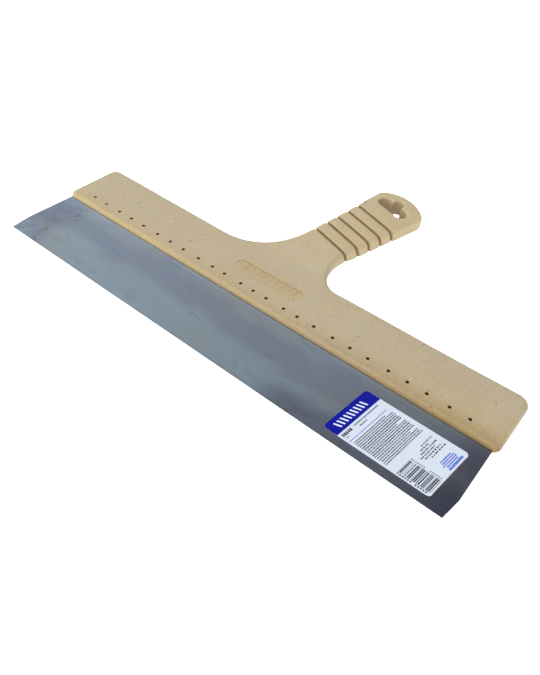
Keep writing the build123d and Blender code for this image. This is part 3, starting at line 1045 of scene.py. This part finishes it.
def blade_material():
    """Cold-rolled blued steel: rolled streaks along its length, stains, heat colours, wear, and
    painted shade and light.
    """
    material, tree, shader = new_material("blued_steel")
    low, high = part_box("blade")
    here = place(tree)
    x, y, _ = xyz(tree, here)
    long_streaks = noise(tree, place(tree, (6, 260, 1)), 1.0, 4, 0.6)
    fine_streaks = noise(tree, place(tree, (30, 2600, 1)), 1.0, 3, 0.7)
    cloud = noise(tree, place(tree, (9, 22, 1), (0.3, 0.1, 0)), 1.0, 4, 0.55, 0.6)
    patch = noise(tree, place(tree, (16, 40, 1), (1.7, 0.4, 0)), 1.0, 5, 0.6, 0.8)
    flecks = noise(tree, here, 150, 5, 0.7)
    drift = times(tree, minus(tree, noise(tree, here, 16, 4, 0.6), 0.5), 0.05)
    from_front = plus(tree, plus(tree, y, -low.y), drift)
    from_left = plus(tree, plus(tree, x, (high.x - low.x) / 2), drift)

    # Rolled steel, with paler and bluer patches and grey stains
    colour = mix(tree, long_streaks, (0.218, 0.262, 0.308), (0.264, 0.314, 0.366))
    pale = ramp(tree, cloud, [(0.42, 0.0), (0.66, 0.8)], True)
    colour = mix(tree, pale, colour, (0.255, 0.276, 0.306))
    stain = ramp(tree, patch, [(0.58, 0.0), (0.74, 0.6)], True)
    colour = mix(tree, stain, colour, (0.200, 0.195, 0.205))
    blue = ramp(tree, patch, [(0.30, 0.6), (0.42, 0.0)], True)
    colour = mix(tree, blue, colour, (0.190, 0.250, 0.360))
    colour = multiplied(tree, colour, ramp(tree, fine_streaks, [(0.3, 0.94), (0.7, 1.05)]))

    # Bands of tone from the working edge to the bar
    bands = [(0.0, (1.05, 1.12, 1.12)), (0.22, (1.08, 1.13, 1.12)), (0.38, (0.92, 0.92, 0.99)),
             (0.50, (0.92, 0.93, 1.00)), (0.66, (1.10, 1.10, 1.11))]
    colour = multiplied(tree, colour, zone(tree, from_front, bands))

    # Scorched blue, crust and heat colours near the left end
    mottle = noise(tree, place(tree, (1, 1, 1), (0.4, 0.2, 0)), 34, 5, 0.65, 0.6)
    mottle = ramp(tree, mottle, [(0.36, 0.25), (0.56, 1.0)])
    scorch = times(tree, zone(tree, from_left, [(0.12, 1.0), (0.45, 0.0)]), mottle)
    colour = mix(tree, times(tree, scorch, 0.75), colour, (0.150, 0.178, 0.250))
    crust = zone(tree, from_left, [(0.20, 0.0), (0.27, 0.8), (0.36, 0.0)])
    crumbs = ramp(tree, flecks, [(0.50, 0.0), (0.60, 1.0)])
    colour = mix(tree, times(tree, crust, crumbs), colour, (0.150, 0.140, 0.150))
    heat = zone(tree, from_left, [(0.10, 0.0), (0.19, 0.7), (0.30, 0.0)])
    heated = ramp(tree, flecks, [(0.38, 1.0), (0.48, 0.0)], True)
    colour = mix(tree, times(tree, heat, heated), colour, (0.170, 0.255, 0.430))

    # Smudges and wear towards the working edge
    smudge = noise(tree, place(tree, (1, 1.6, 1), (0.7, 0.3, 0)), 42, 6, 0.7, 0.5)
    smudge = ramp(tree, smudge, [(0.55, 0.0), (0.70, 0.55)])
    lower = zone(tree, from_front, [(0.05, 1.0), (0.42, 0.15)])
    colour = mix(tree, times(tree, smudge, lower), colour, (0.185, 0.180, 0.190))
    wobble = times(tree, noise(tree, here, 35, 3, 0.6), 0.006)
    at_edge = plus(tree, plus(tree, y, wobble), -low.y)
    worn = zone(tree, at_edge, [(0.15, 1.0), (0.55, 0.0)], 0.01)
    colour = mix(tree, times(tree, worn, 0.55), colour, (0.21, 0.215, 0.225))

    # Painted shade, darker towards the right end and its tip, and painted light, brighter close to the
    # bar
    near = zone(tree, from_front, [(0.10, 1.0), (0.32, 0.0)])
    right = zone(tree, x, [(0.55, 0.0), (0.90, 1.0)])
    colour = tinted(tree, times(tree, near, right), colour, (0.62, 0.58, 0.64))
    tip = ramp(tree, minus(tree, x, 0.19), [(0.0, 0.0), (0.032, 1.0)], True)
    colour = tinted(tree, tip, colour, (0.72, 0.68, 0.77))
    # Painted light close to the bar
    painted_light_by_bar = zone(tree, plus(tree, y, 0.036), [(0.15, 0.0), (0.55, 1.0)], 0.01)
    colour = tinted(tree, painted_light_by_bar, colour, (1.22, 1.24, 1.28))
    put(tree, shader.inputs["Base Color"], colour)

    shader.inputs["Metallic"].default_value = 1.0
    rough = plus(tree, times(tree, cloud, 0.10), times(tree, fine_streaks, 0.10))
    put(tree, shader.inputs["Roughness"], plus(tree, rough, 0.22))
    waves = noise(tree, place(tree, (7, 20, 1), (0.5, 0.9, 0)), 1.0, 2, 0.4)
    normal = bump(tree, fine_streaks, 0.06, 0.0002)
    put(tree, shader.inputs["Normal"], bump(tree, waves, 0.05, 0.004, normal))
    return material


def label_material():
    """Cool white satin film, faintly uneven, with a reddish cut edge."""
    material, tree, shader = new_material("label_film")
    here = place(tree)
    cloud = noise(tree, here, 70, 3, 0.5)
    colour = mix(tree, cloud, (0.390, 0.432, 0.510), (0.422, 0.464, 0.534))
    rim = ramp(tree, normal_z(tree), [(0.3, 1.0), (0.9, 0.0)])
    put(tree, shader.inputs["Base Color"], mix(tree, rim, colour, (0.33, 0.15, 0.10)))
    put(tree, shader.inputs["Roughness"], ramp(tree, cloud, [(0.3, 0.36), (0.7, 0.46)]))
    put(tree, shader.inputs["Normal"], bump(tree, noise(tree, here, 220, 3, 0.6), 0.08, 0.0002))
    return material


def ink_material(name, dark, light):
    """Printing ink with slight unevenness."""
    material, tree, shader = new_material(name)
    here = place(tree)
    put(tree, shader.inputs["Base Color"], mix(tree, noise(tree, here, 1500, 2, 0.6), dark, light))
    shader.inputs["Specular IOR Level"].default_value = 0.1
    rough = ramp(tree, noise(tree, here, 300, 2), [(0.3, 0.34), (0.7, 0.44)])
    put(tree, shader.inputs["Roughness"], rough)
    put(tree, shader.inputs["Normal"], bump(tree, noise(tree, here, 500, 2), 0.06, 0.0001))
    return material


def floor_material():
    """Pale matt paper that glows a little, so that it stays near white."""
    material, tree, shader = new_material("pale_floor")
    colour = mix(tree, noise(tree, place(tree), 3, 2), (0.93, 0.93, 0.93), (0.95, 0.95, 0.95))
    put(tree, shader.inputs["Base Color"], colour)
    shader.inputs["Roughness"].default_value = 0.9
    shader.inputs["Specular IOR Level"].default_value = 0.1
    shader.inputs["Emission Color"].default_value = (1, 1, 1, 1)
    shader.inputs["Emission Strength"].default_value = 0.7
    return material


# ---------------------------------------------------------------- the set


def build_floor():
    """A wide pale floor, just below the knife."""
    corners = [(x * FLOOR_HALF, y * FLOOR_HALF, 0) for x, y in ((-1, -1), (1, -1), (1, 1), (-1, 1))]
    mesh = bpy.data.meshes.new("floor")
    mesh.from_pydata(corners, [], [(0, 1, 2, 3)])
    mesh.materials.append(floor_material())
    floor = add_object("floor", mesh)
    floor.location.z = -FLOOR_GAP


def build_sky():
    """A pale room, with a dark band across it that the blade mirrors."""
    world = bpy.data.worlds.new("studio")
    bpy.context.scene.world = world
    world.use_nodes = True
    tree = world.node_tree
    tree.nodes.clear()
    out = tree.nodes.new("ShaderNodeOutputWorld")
    background = tree.nodes.new("ShaderNodeBackground")
    tree.links.new(background.outputs[0], out.inputs[0])
    coords = tree.nodes.new("ShaderNodeTexCoord")
    towards = tree.nodes.new("ShaderNodeVectorMath")
    towards.operation = "DOT_PRODUCT"
    towards.inputs[1].default_value = Vector(SKY_AXIS).normalized()
    tree.links.new(coords.outputs["Generated"], towards.inputs[0])
    tree.links.new(ramp(tree, towards.outputs["Value"], SKY_STOPS, True), background.inputs[0])


def add_light(name, kind, source, power):
    """A light that shines from the side or the place given, and isn't mirrored in the object."""
    data = bpy.data.lights.new(name, kind)
    data.energy = power
    light = add_object(name, data)
    light.rotation_mode = "QUATERNION"
    light.rotation_quaternion = Vector(source).to_track_quat("Z", "Y")
    light.visible_glossy = False
    return light


def build_lights():
    """One softbox low on the left, and three broad soft suns."""
    softbox = add_light("low_window", "AREA", SOFTBOX_PLACE, SOFTBOX_POWER)
    softbox.location = SOFTBOX_PLACE
    softbox.data.shape = "DISK"
    softbox.data.size = SOFTBOX_SIZE
    for name, source, power, angle in SUNS:
        add_light(name, "SUN", source, power).data.angle = math.radians(angle)


def build_camera():
    """The photograph's viewpoint, above the knife and to its right."""
    data = bpy.data.cameras.new("camera")
    data.lens = LENS
    data.sensor_width = SENSOR_WIDTH
    data.clip_start, data.clip_end = 0.01, 50
    camera = add_object("camera", data)
    turn = Euler([math.radians(angle) for angle in CAMERA_TURN])
    camera.matrix_world = Matrix.LocRotScale(Vector(CAMERA_PLACE), turn, None)
    bpy.context.scene.camera = camera


# ---------------------------------------------------------------- run

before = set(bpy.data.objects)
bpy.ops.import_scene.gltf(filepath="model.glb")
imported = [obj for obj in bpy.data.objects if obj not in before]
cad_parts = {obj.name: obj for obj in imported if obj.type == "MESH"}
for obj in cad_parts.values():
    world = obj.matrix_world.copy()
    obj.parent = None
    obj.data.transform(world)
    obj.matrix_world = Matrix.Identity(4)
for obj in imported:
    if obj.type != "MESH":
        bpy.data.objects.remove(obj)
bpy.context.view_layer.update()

handle = build_handle(handle_material())
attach(handle, "root")
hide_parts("handle")

blade = build_blade(blade_material())
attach(blade, "root")
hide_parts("blade")

label = build_label(label_material())
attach(label, "root")
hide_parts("label")

print_inks = {
    "band": ink_material("band_blue", (0.0, 0.002, 0.170), (0.001, 0.004, 0.205)),
    "white": ink_material("print_white", (0.46, 0.50, 0.61), (0.50, 0.54, 0.64)),
    "black": ink_material("print_black", (0.020, 0.024, 0.036), (0.045, 0.050, 0.070)),
    "grey": ink_material("print_grey", (0.055, 0.062, 0.085), (0.10, 0.11, 0.14)),
    "blue": ink_material("print_blue", (0.012, 0.06, 0.33), (0.025, 0.09, 0.42)),
    "cut": ink_material("cut_edge", (0.20, 0.075, 0.045), (0.26, 0.11, 0.07)),
}
marks = build_print(print_inks)
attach(marks, "root")

build_floor()
build_sky()
build_lights()
build_camera()
bpy.context.scene.view_settings.view_transform = "Standard"
